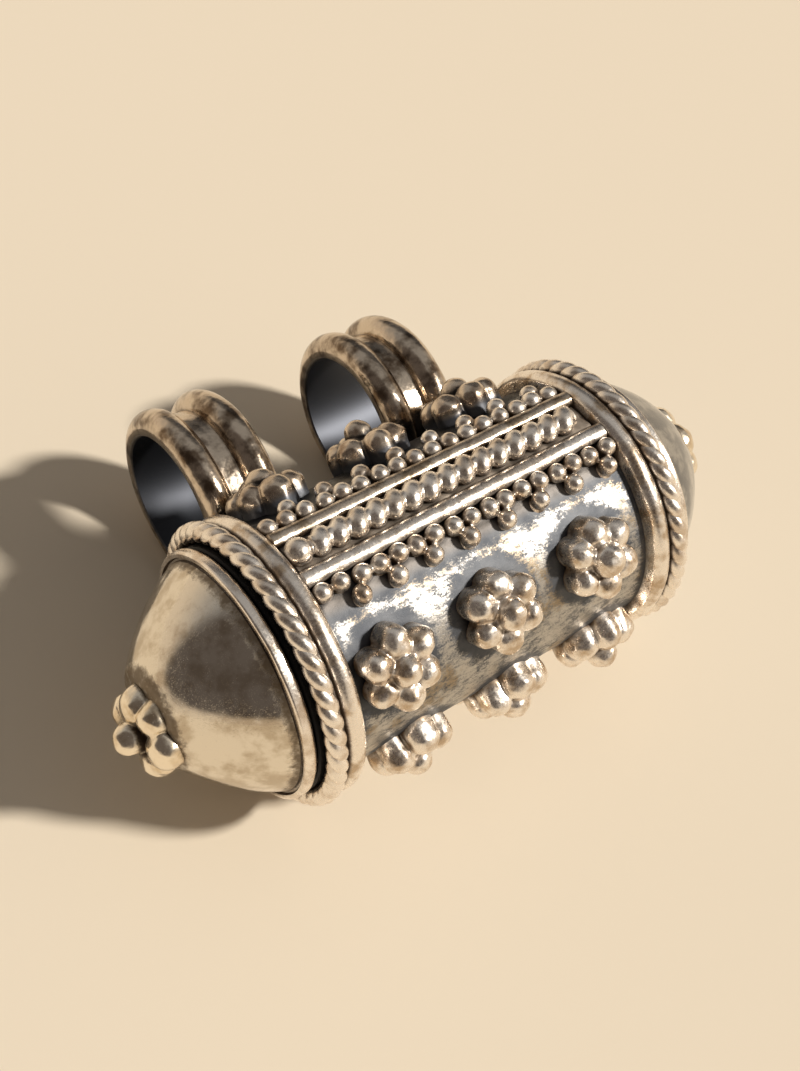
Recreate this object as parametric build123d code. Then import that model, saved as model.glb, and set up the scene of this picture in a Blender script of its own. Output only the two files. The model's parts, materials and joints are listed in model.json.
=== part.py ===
from build123d import *
import math
import os

# Tubular amulet case of oxidised silver, in millimetres.
# X runs along the tube, Z is up, and the two bails stand off the back, towards +Y.
# Angles round the tube are measured from the bails, over the top, towards the front.

# Case tube
tube_radius = 7.9
tube_wall = 0.6
tube_length = 27.5
solder_film = 0.02
wire_seat = 0.05

# Collar wires round both ends of the tube
collar_wire = 1.1
collar_rope = 1.3
collar_rope_turns = 24
collar_rope_inset = 0.1
collar_gap = 0.15
strand_gap = 0.04
rope_joint_gap = 0.15

# End caps
rim_overhang = 0.1
rim_width = 0.8
rim_edge_round = 0.3
cap_seam = 0.1
dome_ledge = 0.6
dome_height = 5.2
dome_crown_radius = 3.0
dome_crown_rise = 0.6
dome_sagitta = 0.46
dome_wall = 0.6
sleeve_length = 4.5
sleeve_wall = 0.5
sleeve_clearance = 0.05

# Finials on the caps
finial_lobe = 2.3
finial_ring_radius = 1.75
finial_ring_height = 1.5
finial_tip_lobe = 1.9
finial_tip_height = 2.5
finial_offset = {"pull": 0.45, "fixed": 0.0}
finial_offset_angle = -130

# Bails
bail_bore = 9.8
bail_crest = 12.8
bail_band = 0.55
bail_width = 5.4
bail_ridge_width = 2.1
bail_end_gap = {"left": 0.9, "right": 1.9}
bail_seat = 0.15

# Rosettes
rosette_lobe = 2.2
rosette_lobes = 6
rosette_ring_radius = 1.75
rosette_ring_height = 1.8
rosette_centre_lobe = 1.8
rosette_centre_height = 2.6
rosette_count = 3
row_shift = {"bail_side": -0.4, "front": -0.8, "lower_front": 0.7, "underside": -0.4}

# Panels of wires and granules
border_wire = 0.9
border_offset = 1.55
panel_end_gap = 0.05
end_ball = 1.7
ball_seat = 0.25
bead = 1.46
bead_waist = 1.0
bead_spacing = 1.28
bead_seat = 0.1
granule = 1.2
granule_seat = 0.15
granule_spacing = 1.3
granule_inner_offset = 2.6
granule_outer_offset = 3.6

# Gaps between the rows, along the tube's surface
bail_row_clearance = 0.64
panel_gap_bail_side = 0.1
panel_gap_front = 0.85
panel_gap_lower = 0.1

# Rolled prayer slip
scroll_radius = 3.6
scroll_sheet = 0.25
scroll_step = 0.7
scroll_half_turns = 6
scroll_length = 25.0
scroll_clearance = 0.1

# Worked-out places
tube_end = tube_length / 2
bore_radius = tube_radius - tube_wall
seat_radius = tube_radius + solder_film
rope_place = tube_end - collar_rope_inset - collar_rope / 2
rope_ring_radius = seat_radius + collar_rope / 2
rope_outer_radius = seat_radius + collar_rope
wire_place = rope_place - collar_rope / 2 - collar_gap - collar_wire / 2
panel_end = wire_place - collar_wire / 2 - panel_end_gap
panel_length = 2 * panel_end
rim_radius = tube_radius + rim_overhang
dome_base_radius = rim_radius - dome_ledge
sleeve_radius = bore_radius - sleeve_clearance
sleeve_bore = sleeve_radius - sleeve_wall
bail_radius = bail_crest / 2
bail_centre = tube_radius + bail_radius - bail_seat
rosette_outer = rosette_ring_radius + rosette_lobe / 2
rosette_pitch = panel_length / rosette_count
scroll_drop = sleeve_bore - scroll_clearance - scroll_radius


def arc_angle(distance):
    return math.degrees(distance / tube_radius)


# The rows are set off from the bails one after the other, each by its neighbour's width and a gap.
lobe_height = tube_radius + rosette_ring_height - rosette_lobe / 2
lobe_reach = math.hypot(lobe_height, rosette_ring_radius)
lobe_spread = math.degrees(math.atan2(rosette_ring_radius, lobe_height))
bail_to_lobe = bail_radius + rosette_lobe / 2 + bail_row_clearance
lobe_cosine = (bail_centre**2 + lobe_reach**2 - bail_to_lobe**2) / (2 * bail_centre * lobe_reach)
bail_row_angle = math.degrees(math.acos(lobe_cosine)) + lobe_spread
row_width = rosette_outer + granule_outer_offset + granule / 2
front_panel_angle = bail_row_angle + arc_angle(row_width + panel_gap_bail_side)
front_row_angle = front_panel_angle + arc_angle(row_width + panel_gap_front)
back_panel_angle = -front_panel_angle
lower_row_angle = back_panel_angle - arc_angle(row_width + panel_gap_lower)
row_angles = {
    "bail_side": bail_row_angle,
    "front": front_row_angle,
    "lower_front": lower_row_angle,
    "underside": -bail_row_angle,
}

# The case lies on its two collar ropes and on whichever comes down first, a bail or the underside rosettes.
bail_roll = -math.degrees(math.asin((rope_outer_radius - bail_radius) / bail_centre))
lobe_sine = min(1.0, (rope_outer_radius - rosette_lobe / 2) / lobe_reach)
lobe_roll = bail_row_angle + lobe_spread - math.degrees(math.asin(lobe_sine))
rest_roll = max(bail_roll, lobe_roll)


def turned(profile):
    return revolve(profile, axis=Axis.X)


def section(x_low, x_high, radius_low, radius_high):
    box = Rectangle(x_high - x_low, radius_high - radius_low, align=(Align.MIN, Align.MIN))
    return Pos(x_low, radius_low) * box


def around(x, angle):
    return Rot(X=angle - 90) * Pos(x, 0, 0)


tube_body = turned(section(-tube_end, tube_end, bore_radius, tube_radius))
seat_body = turned(section(-tube_length, tube_length, 0, seat_radius))


def collar_ring(side):
    place = side * wire_place
    wire = Pos(place, seat_radius + collar_wire / 2 - wire_seat) * Circle(collar_wire / 2)
    return turned(wire - section(place - collar_wire, place + collar_wire, 0, seat_radius))


def biarc(start, start_way, end, end_way):
    span = end - start
    bend = 2 * (1 - start_way.dot(end_way))
    along = span.dot(start_way + end_way)
    reach = (math.sqrt(along**2 + bend * span.dot(span)) - along) / bend
    near = start + start_way * reach
    far = end - end_way * reach
    middle = (near + far) * 0.5
    return [TangentArc(start, middle, tangent=start_way), TangentArc(middle, end, tangent=far - near)]


def strand(x, wire, phase):
    helix = collar_rope / 2 - wire
    quarters = 4 * collar_rope_turns
    stretch = 2 * math.pi - rope_joint_gap / rope_ring_radius

    def point(turn):
        lay = collar_rope_turns * turn + phase
        radius = rope_ring_radius + helix * math.cos(lay)
        return Vector(x + helix * math.sin(lay), radius * math.cos(turn), radius * math.sin(turn))

    def way(turn):
        lay = collar_rope_turns * turn + phase
        radius = rope_ring_radius + helix * math.cos(lay)
        swing = helix * collar_rope_turns
        growth = -swing * math.sin(lay)
        across = growth * math.cos(turn) - radius * math.sin(turn)
        up = growth * math.sin(turn) + radius * math.cos(turn)
        return Vector(swing * math.cos(lay), across, up).normalized()

    turns = [stretch * k / quarters for k in range(quarters + 1)]
    edges = []
    for low, high in zip(turns, turns[1:]):
        edges += biarc(point(low), way(low), point(high), way(high))
    start = Plane(origin=point(0), z_dir=way(0))
    return sweep(start * Circle(wire), path=Wire(edges))


def collar_rope_pair(side):
    wire = (collar_rope - strand_gap) / 4
    return [strand(side * rope_place, wire, phase) for phase in (0, math.pi)]


def lobe(radius, height):
    shoulder = height - radius
    diagonal = radius * math.sqrt(0.5)
    outline = Polyline((radius, shoulder), (radius, -height), (0, -height), (0, height))
    crown = ThreePointArc((0, height), (diagonal, shoulder + diagonal), (radius, shoulder))
    return revolve(Plane.XZ * make_face([outline, crown]), axis=Axis.Z)


def lobe_cluster(ring_lobe, ring_radius, ring_height, centre_lobe, centre_height):
    cluster = lobe(centre_lobe / 2, centre_height)
    for k in range(rosette_lobes):
        turn = 90 + 360 * k / rosette_lobes
        cluster += Rot(Z=turn) * Pos(ring_radius, 0, 0) * lobe(ring_lobe / 2, ring_height)
    return cluster


def dome_solid(inset):
    base = dome_base_radius - inset
    crown = dome_crown_radius - inset
    top = dome_height + dome_crown_rise - inset
    side = SagittaArc((0, base), (dome_height, crown), dome_sagitta)
    rest = Polyline((dome_height, crown), (top, 0), (0, 0), (0, base))
    return turned(make_face([side, rest]))


def cap_pieces(seam, offset):
    rim_start = tube_end + seam
    rim_end = rim_start + rim_width
    dome_start = rim_end + solder_film
    rim = section(rim_start, rim_end, sleeve_bore, rim_radius)
    seam_corner = rim.vertices().sort_by(Axis.X)[:2].sort_by(Axis.Y)[-1]
    sleeve = section(rim_start - sleeve_length, rim_start - solder_film, sleeve_bore, sleeve_radius)
    dome = Pos(dome_start, 0, 0) * (dome_solid(0) - dome_solid(dome_wall))
    ring = (finial_lobe, finial_ring_radius, finial_ring_height)
    cluster = lobe_cluster(*ring, finial_tip_lobe, finial_tip_height)
    finial = Rot(X=finial_offset_angle) * Pos(dome_start + dome_height, offset, 0) * Rot(Y=90) * cluster
    finial -= Pos(dome_start + solder_film, 0, 0) * dome_solid(0)
    return {
        "dome": dome,
        "rim": turned(fillet(seam_corner, rim_edge_round)),
        "sleeve": turned(sleeve),
        "finial": finial,
    }


def bail(x):
    bore = bail_bore / 2
    half = bail_width / 2
    ridge_half = bail_ridge_width / 2
    ridge_rise = bail_radius - bore - bail_band
    ridge_round = (ridge_rise**2 + ridge_half**2) / (2 * ridge_rise)
    profile = section(-half, half, bore, bore + bail_band)
    for side in (-1, 1):
        ridge = Pos(side * (half - ridge_half), bail_radius - ridge_round) * Circle(ridge_round)
        profile += ridge & section(-half, half, bore, bail_radius)
    return Pos(x, bail_centre, 0) * turned(profile) - seat_body


def border(angle):
    wire = Cylinder(border_wire / 2, panel_length)
    seated = Pos(0, 0, seat_radius + border_wire / 2 - wire_seat) * Rot(Y=90) * wire - seat_body
    return around(0, angle) * seated


def beaded_wire(angle):
    half = bead_spacing / 2
    waist = bead_waist / 2
    start = -panel_end + end_ball + solder_film
    count = int((panel_end - start) // bead_spacing)
    finish = start + count * bead_spacing
    outline = [Polyline((finish, waist), (finish, 0), (start, 0), (start, waist))]
    for k in range(count):
        left = start + k * bead_spacing
        outline.append(ThreePointArc((left, waist), (left + half, bead / 2), (left + bead_spacing, waist)))
    beads = Pos(0, 0, seat_radius + bead / 2 - bead_seat) * turned(make_face(outline))
    ball_height = seat_radius + end_ball / 2 - ball_seat
    ball = Pos(-panel_end + end_ball / 2, 0, ball_height) * Sphere(end_ball / 2)
    return [around(0, angle) * (piece - seat_body) for piece in (beads, ball)]


granule_body = Pos(0, 0, seat_radius + granule / 2 - granule_seat) * Sphere(granule / 2) - seat_body


def granule_row(angle, way):
    inner = angle + way * arc_angle(granule_inner_offset)
    outer = angle + way * arc_angle(granule_outer_offset)
    count = int((panel_length - granule) // granule_spacing) + 1
    last = granule_spacing * (count - 1) / 2
    places = [last - k * granule_spacing for k in range(count)]
    row = [around(x, inner) * granule_body for x in places]
    for near, far in zip(places[0::2], places[1::2]):
        row.append(around((near + far) / 2, outer) * granule_body)
    return row


def half_turns(radius):
    arcs = []
    near = Vector(0, radius)
    way = 1
    for k in range(scroll_half_turns):
        across = 2 * radius - scroll_step / 2
        far = near - Vector(0, way * across)
        arcs.append(ThreePointArc(near, (near + far) * 0.5 + Vector(way * across / 2, 0), far))
        near = far
        radius -= scroll_step / 2
        way = -way
    return arcs


def scroll():
    outer = half_turns(scroll_radius)
    inner = half_turns(scroll_radius - scroll_sheet)
    ends = [Line(outer[0] @ 0, inner[0] @ 0), Line(outer[-1] @ 1, inner[-1] @ 1)]
    sheet = make_face(outer + inner + ends)
    return Pos(-scroll_length / 2, 0, -scroll_drop) * extrude(Plane.YZ * sheet, scroll_length)


nodes = {"case_tube": [tube_body]}
for name, side in (("left", -1), ("right", 1)):
    nodes[f"{name}_collar_wire"] = [collar_ring(side)]
    nodes[f"{name}_collar_rope"] = collar_rope_pair(side)
    nodes[f"{name}_bail"] = [bail(side * (panel_end - bail_end_gap[name] - bail_width / 2))]
for piece, shape in cap_pieces(cap_seam, finial_offset["pull"]).items():
    nodes[f"pull_cap_{piece}"] = [mirror(shape, about=Plane.YZ)]
for piece, shape in cap_pieces(solder_film, finial_offset["fixed"]).items():
    nodes[f"fixed_cap_{piece}"] = [shape]
for name, angle, upper in (("front", front_panel_angle, -1), ("back", back_panel_angle, 1)):
    nodes[f"{name}_panel_beads"] = beaded_wire(angle)
    for edge, way in (("upper", upper), ("lower", -upper)):
        nodes[f"{name}_panel_wire_{edge}"] = [border(angle + way * arc_angle(border_offset))]
        nodes[f"{name}_granules_{edge}"] = granule_row(angle, way)

ring = (rosette_lobe, rosette_ring_radius, rosette_ring_height)
rosette_cluster = lobe_cluster(*ring, rosette_centre_lobe, rosette_centre_height)
rosette_body = Pos(0, 0, tube_radius) * rosette_cluster - seat_body
for row, angle in row_angles.items():
    for k in range(rosette_count):
        x = (k - (rosette_count - 1) / 2) * rosette_pitch + row_shift[row]
        nodes[f"rosette_{row}_{k + 1}"] = [around(x, angle) * rosette_body]

# The case is rolled to its rest, and its box is centred over the origin.
rolled = {name: [Rot(X=rest_roll) * piece for piece in pieces] for name, pieces in nodes.items()}
rolled["prayer_scroll"] = [scroll()]
boxes = [piece.bounding_box() for pieces in rolled.values() for piece in pieces]
centre_x = (min(box.min.X for box in boxes) + max(box.max.X for box in boxes)) / 2
centre_y = (min(box.min.Y for box in boxes) + max(box.max.Y for box in boxes)) / 2
placement = Pos(-centre_x, -centre_y, rope_outer_radius)

os.makedirs("parts", exist_ok=True)
for name, pieces in rolled.items():
    solids = [solid for piece in pieces for solid in (placement * piece).solids()]
    export_step(solids[0] if len(solids) == 1 else Compound(children=solids), f"parts/{name}.step")

bail_way = math.radians(rest_roll)
print("tube axis at y", round(-centre_y, 4), "z", round(rope_outer_radius, 4), "shift x", round(-centre_x, 4))
print("bail axis at y", round(bail_centre * math.cos(bail_way) - centre_y, 4))
print("bail axis at z", round(bail_centre * math.sin(bail_way) + rope_outer_radius, 4))
print("row angles", {row: round(angle, 2) for row, angle in row_angles.items()})
print("panel angles", round(front_panel_angle, 2), round(back_panel_angle, 2), "roll", round(rest_roll, 3))
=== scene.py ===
import bmesh
import bpy
import json
import math
from mathutils import Matrix, Vector, noise


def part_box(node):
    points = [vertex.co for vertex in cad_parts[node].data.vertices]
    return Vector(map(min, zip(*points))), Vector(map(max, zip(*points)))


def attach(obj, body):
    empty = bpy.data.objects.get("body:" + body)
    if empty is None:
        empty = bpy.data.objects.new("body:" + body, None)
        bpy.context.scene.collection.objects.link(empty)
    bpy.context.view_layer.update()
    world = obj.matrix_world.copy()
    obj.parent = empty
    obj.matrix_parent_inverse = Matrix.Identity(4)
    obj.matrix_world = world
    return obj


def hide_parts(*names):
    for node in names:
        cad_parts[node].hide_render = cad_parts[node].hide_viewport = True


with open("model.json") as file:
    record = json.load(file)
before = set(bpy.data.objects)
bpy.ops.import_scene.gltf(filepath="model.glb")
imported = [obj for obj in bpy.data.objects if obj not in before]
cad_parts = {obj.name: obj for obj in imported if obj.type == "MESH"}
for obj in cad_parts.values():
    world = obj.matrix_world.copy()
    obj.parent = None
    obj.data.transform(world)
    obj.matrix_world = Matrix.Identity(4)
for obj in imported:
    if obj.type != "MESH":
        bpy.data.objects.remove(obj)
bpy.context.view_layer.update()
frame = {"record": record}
mm = 0.001
hair = 0.0001 * mm  # less than any real size

# where the tube lies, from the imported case
tubeLow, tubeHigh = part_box("case_tube")
axisCentre = (tubeLow + tubeHigh) / 2
tubeRadius = (tubeHigh.z - tubeLow.z) / 2
tubeEnd = (tubeHigh.x - tubeLow.x) / 2
bailBores = {m["name"]: m for m in frame["record"]["mounts"]}
bailPlace = Vector(bailBores["left_bail_bore"]["pos_m"])
bailBore = bailBores["left_bail_bore"]["dims"]["r_mm"] * mm
bailReach = math.hypot(bailPlace.y - axisCentre.y, bailPlace.z - axisCentre.z)
restRoll = math.atan2(bailPlace.z - axisCentre.z, bailPlace.y - axisCentre.y)
print("frame: tube radius", round(tubeRadius / mm, 3), "mm, roll", round(math.degrees(restRoll), 2))


def around(x, angleDeg):  # the tube's surface frame: X along the tube, Z straight out of it
    turn = Matrix.Rotation(restRoll + math.radians(angleDeg - 90), 4, "X")
    return Matrix.Translation(axisCentre) @ turn @ Matrix.Translation((x, 0, 0))


def arcAngle(distance):
    return math.degrees(distance / tubeRadius)


# mesh helpers
creaseDeg = 40


def intoScene(name, data):
    made = bpy.data.objects.new(name, data)
    bpy.context.scene.collection.objects.link(made)
    return made


def outwardFaces(mesh):
    work = bmesh.new()
    work.from_mesh(mesh)
    bmesh.ops.recalc_face_normals(work, faces=work.faces)
    work.to_mesh(mesh)
    work.free()


def meshObject(name, verts, faces, place=None):
    mesh = bpy.data.meshes.new(name)
    mesh.from_pydata([tuple(v) for v in verts], [], faces)
    mesh.validate()
    if place is not None:
        mesh.transform(place)
    outwardFaces(mesh)
    mesh.shade_smooth()
    mesh.set_sharp_from_angle(angle=math.radians(creaseDeg))
    mesh.update()
    return intoScene(name, mesh)


def paint(piece, name, place, tone):  # a number at each point, from its place in the frame given
    layer = piece.data.attributes.new(name, "FLOAT", "POINT")
    back = place.inverted()
    layer.data.foreach_set("value", [tone(back @ vertex.co) for vertex in piece.data.vertices])


def latheX(name, outline, steps, place, closed=False, wobble=None):
    # turns (x, r) points about X; a point with r = 0 becomes a pole
    verts, rows = [], []
    for x, r in outline:
        if r < hair:
            rows.append([len(verts)])
            verts.append(Vector((x, 0, 0)))
            continue
        rows.append(list(range(len(verts), len(verts) + steps)))
        for k in range(steps):
            a = 2 * math.pi * k / steps
            verts.append(Vector((x, r * math.cos(a), r * math.sin(a))))
    faces = []
    pairs = list(zip(rows, rows[1:])) + ([(rows[-1], rows[0])] if closed else [])
    for low, high in pairs:
        for k in range(steps):
            n = (k + 1) % steps
            if len(low) == 1:
                faces.append((low[0], high[n], high[k]))
            elif len(high) == 1:
                faces.append((low[k], low[n], high[0]))
            else:
                faces.append((low[k], low[n], high[n], high[k]))
    if wobble:
        verts = [v + wobble(v) for v in verts]
    return meshObject(name, verts, faces, place)


def arcPoints(centre, radius, startDeg, endDeg, count):
    spread = [math.radians(startDeg + (endDeg - startDeg) * k / count) for k in range(count + 1)]
    return [(centre[0] + radius * math.cos(a), centre[1] + radius * math.sin(a)) for a in spread]


dentSeed = 12
noise.seed_set(dentSeed)  # unseeded, the noise starts elsewhere at every run


def handWork(depth, size):  # low soft dents, as a hammer and a file leave them
    def push(v):
        return noise.noise_vector(v / size) * depth
    return push


def finishPiece(piece, body, nodes, material):
    piece.data.materials.clear()
    piece.data.materials.append(material)
    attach(piece, body)
    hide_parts(*nodes)


# node helpers, for shapes, finishes and the room
class Nodes:
    def __init__(self, tree):
        self.tree = tree

    def node(self, kind, values=None, **settings):
        made = self.tree.nodes.new(kind)
        for key, value in settings.items():
            setattr(made, key, value)
        for key, value in (values or {}).items():
            self.set(made.inputs[key], value)
        return made

    def set(self, socket, value):
        if isinstance(value, bpy.types.NodeSocket):
            self.tree.links.new(value, socket)
        else:
            socket.default_value = value

    def math(self, operation, a, b=0.0, clamp=False):
        return self.node("ShaderNodeMath", {0: a, 1: b}, operation=operation, use_clamp=clamp).outputs[0]

    def plus(self, a, b, clamp=False):
        return self.math("ADD", a, b, clamp)

    def minus(self, a, b, clamp=False):
        return self.math("SUBTRACT", a, b, clamp)

    def times(self, a, b):
        return self.math("MULTIPLY", a, b)


class NodeTree(Nodes):
    def __init__(self, name, numbers, counts, vectors=()):
        super().__init__(bpy.data.node_groups.new(name, "GeometryNodeTree"))
        self.sockets = {}
        kinds = (("Float", numbers), ("Int", counts), ("Vector", vectors), ("Material", ["Material"]))
        for kind, labels in kinds:
            for label in labels:
                socket = self.tree.interface.new_socket(label, in_out="INPUT",
                                                        socket_type=f"NodeSocket{kind}")
                self.sockets[label] = socket.identifier
        self.tree.interface.new_socket("Geometry", in_out="OUTPUT", socket_type="NodeSocketGeometry")
        self.start = self.tree.nodes.new("NodeGroupInput")
        self.end = self.tree.nodes.new("NodeGroupOutput")

    def given(self, label):
        return self.start.outputs[label]

    def vector(self, x, y, z):
        made = self.node("ShaderNodeCombineXYZ")
        for socket, value in zip(made.inputs, (x, y, z)):
            self.set(socket, value)
        return made.outputs[0]

    def join(self, parts):
        made = self.node("GeometryNodeJoinGeometry")
        for part in parts:
            self.tree.links.new(part, made.inputs[0])
        return made.outputs[0]

    def close(self, geometry):
        real = self.node("GeometryNodeRealizeInstances", {"Geometry": geometry})
        smooth = self.node("GeometryNodeSetShadeSmooth", {"Geometry": real.outputs[0]})
        painted = self.node("GeometryNodeSetMaterial",
                            {"Geometry": smooth.outputs[0], "Material": self.given("Material")})
        self.tree.links.new(painted.outputs[0], self.end.inputs[0])


def grow(name, nodeTree, values, place, after=()):
    # runs the tree on an empty mesh, then the modifiers, and keeps the result as a plain mesh
    seed = intoScene(name + "Seed", bpy.data.meshes.new(name + "Seed"))
    modifier = seed.modifiers.new("grow", "NODES")
    modifier.node_group = nodeTree.tree
    for label, value in values.items():
        modifier[nodeTree.sockets[label]] = value
    for kind, settings in after:
        extra = seed.modifiers.new(kind.lower(), kind)
        for key, value in settings.items():
            setattr(extra, key, value)
    evaluated = seed.evaluated_get(bpy.context.evaluated_depsgraph_get())
    mesh = bpy.data.meshes.new_from_object(evaluated)
    bpy.data.objects.remove(seed)
    mesh.name = name
    mesh.transform(place)
    outwardFaces(mesh)
    mesh.shade_smooth()
    mesh.update()
    return intoScene(name, mesh)


def fused(voxel, smoothing):  # one skin over pieces that were soldered together
    return [("REMESH", {"mode": "VOXEL", "voxel_size": voxel, "use_smooth_shade": True}),
            ("SMOOTH", {"factor": 0.5, "iterations": smoothing})]


class ShaderNodes(Nodes):
    def span(self, value, low, high, toLow=0.0, toHigh=1.0):
        ends = {"Value": value, "From Min": low, "From Max": high, "To Min": toLow, "To Max": toHigh}
        return self.node("ShaderNodeMapRange", ends, interpolation_type="SMOOTHSTEP").outputs[0]

    def blend(self, share, a, b):
        made = self.node("ShaderNodeMix", data_type="RGBA")
        for socket, value in zip((made.inputs[0], made.inputs[6], made.inputs[7]), (share, a, b)):
            self.set(socket, (*value, 1.0) if isinstance(value, tuple) else value)
        return made.outputs[2]


# every pattern is laid out in millimetres of the object's own frame
class Finish(ShaderNodes):
    def __init__(self, name):
        self.material = bpy.data.materials.new(name)
        self.material.use_nodes = True
        super().__init__(self.material.node_tree)
        self.bsdf = self.tree.nodes["Principled BSDF"]
        coords = self.node("ShaderNodeTexCoord")
        scale = self.node("ShaderNodeMapping", {"Vector": coords.outputs["Object"], "Scale": (1 / mm,) * 3})
        self.place = scale.outputs[0]

    def grain(self, perMm, detail=3.0, rough=0.55, stretch=None, turn=(0.0, 0.0, 0.0)):
        spot = self.place
        if stretch:
            laid = self.node("ShaderNodeMapping", {"Vector": spot, "Scale": stretch, "Rotation": turn})
            spot = laid.outputs[0]
        made = self.node("ShaderNodeTexNoise",
                         {"Vector": spot, "Scale": perMm, "Detail": detail, "Roughness": rough})
        return made.outputs[0]

    def painted(self, name):
        return self.node("ShaderNodeAttribute", attribute_name=name).outputs["Fac"]

    def swing(self, value, reach):  # a noise about zero, to break up an edge
        return self.times(self.minus(value, 0.5), reach)

    # ambient occlusion, lower in crevices and between parts; blended into a colour, it paints shade there
    def crevice(self, reach):
        return self.node("ShaderNodeAmbientOcclusion", {"Distance": reach}, samples=16).outputs["AO"]

    def bump(self, height, strength, depth, under=None):
        made = self.node("ShaderNodeBump", {"Height": height, "Strength": strength, "Distance": depth})
        if under is not None:
            self.set(made.inputs["Normal"], under)
        return made.outputs[0]

    def done(self, colour, rough, metal, normal):
        results = {"Base Color": colour, "Roughness": rough, "Metallic": metal, "Normal": normal}
        for key, value in results.items():
            self.set(self.bsdf.inputs[key], value)
        return self.material


silverLook = {
    "bright": (0.94, 0.87, 0.79),
    "worn": (0.68, 0.58, 0.48),
    # patina and painted shade: the colour that crevices and gaps between parts are darkened towards
    "patina": (0.085, 0.058, 0.038),
    # painted shade: the dark blue-grey of the bail bores and of the shaded rosettes' feet
    "inside": (0.070, 0.075, 0.088),
    "blotchPerMm": 0.9,
    "blotch": (0.42, 0.68),
    "speckPerMm": 7.0,
    "grimeReach": 0.75 * mm,
    "grimeFrom": 0.80,
    "grimeTo": 0.36,
    "grimeSpeck": 0.34,
    "grimeRough": 0.32,
    "grimeDull": 0.7,
    "polish": (0.3, 0.75),
    "roughLow": 0.22,
    "roughHigh": 0.39,
    "insideRough": 0.46,
    "hammerPerMm": 1.2,
    "hammerDepth": 0.09 * mm,
    "hammerShare": 0.5,
    "pitPerMm": 14.0,
    "pitDepth": 0.018 * mm,
    "pitShare": 0.12,
}


def wornSilver(name, **changes):
    look = {**silverLook, **changes}
    f = Finish(name)
    blotch = f.span(f.grain(look["blotchPerMm"], 4.0), *look["blotch"])
    speck = f.grain(look["speckPerMm"], 4.0, 0.6)
    # painted shade on the bail bores and the rosette feet, from a painted share
    inside = f.painted("inside")
    # patina and painted shade: crevices and gaps between parts go darker by their ambient occlusion
    exposed = f.plus(f.crevice(look["grimeReach"]), f.swing(speck, look["grimeSpeck"]))
    grime = f.span(exposed, look["grimeFrom"], look["grimeTo"])
    colour = f.blend(blotch, look["bright"], look["worn"])
    colour = f.blend(grime, colour, look["patina"])
    colour = f.blend(inside, colour, look["inside"])
    shine = f.span(speck, *look["polish"], look["roughLow"], look["roughHigh"])
    rough = f.plus(shine, f.times(grime, look["grimeRough"]), True)
    rough = f.math("MAXIMUM", rough, f.times(inside, look["insideRough"]))
    metal = f.minus(1.0, f.times(grime, look["grimeDull"]))
    outside = f.minus(1.0, inside)
    hammered = f.times(f.grain(look["hammerPerMm"], 1.5), outside)
    dents = f.bump(hammered, look["hammerShare"], look["hammerDepth"])
    normal = f.bump(f.grain(look["pitPerMm"], 2.0), look["pitShare"], look["pitDepth"], dents)
    return f.done(colour, rough, metal, normal)


tubeLook = {
    "oxide": (0.080, 0.086, 0.098),
    "bloom": (0.132, 0.138, 0.150),
    # painted shade: near black, for crevices beside the ornaments, under the collars and beside the bails
    "soot": (0.018, 0.018, 0.020),
    "burnished": (0.50, 0.475, 0.44),
    "stain": (0.33, 0.26, 0.175),
    "solder": (0.40, 0.34, 0.28),
    "cloudPerMm": 0.7,
    "cloud": (0.3, 0.7),
    "fleckPerMm": 3.6,
    "fleck": (0.32, 0.68),
    "fleckStretch": (0.45, 1.0, 1.0),
    "speckPerMm": 10.0,
    "openShare": 0.60,
    "cloudShare": 0.20,
    "fleckShare": 0.34,
    "wearSpeck": 0.8,
    "wear": (0.57, 1.02),
    "sootReach": 1.2 * mm,
    "sootSpeck": 0.2,
    "sootEdge": (0.72, 0.26),
    "sootDull": 0.15,
    "solderClean": 0.6,
    "brownPerMm": 0.42,
    "brownSpeck": 0.35,
    "brown": (0.50, 0.62),
    "roughSpeck": 0.5,
    "roughOxide": 0.58,
    "roughBurnished": 0.34,
    "swellPerMm": 0.6,
    "swellDepth": 0.07 * mm,
    "scuffDepth": 0.02 * mm,
    "scuffShare": 0.3,
    "grainPerMm": 17.0,
    "grainStretch": (0.6, 1.0, 1.0),
    "grainDepth": 0.018 * mm,
    "grainShare": 0.55,
}


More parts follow.
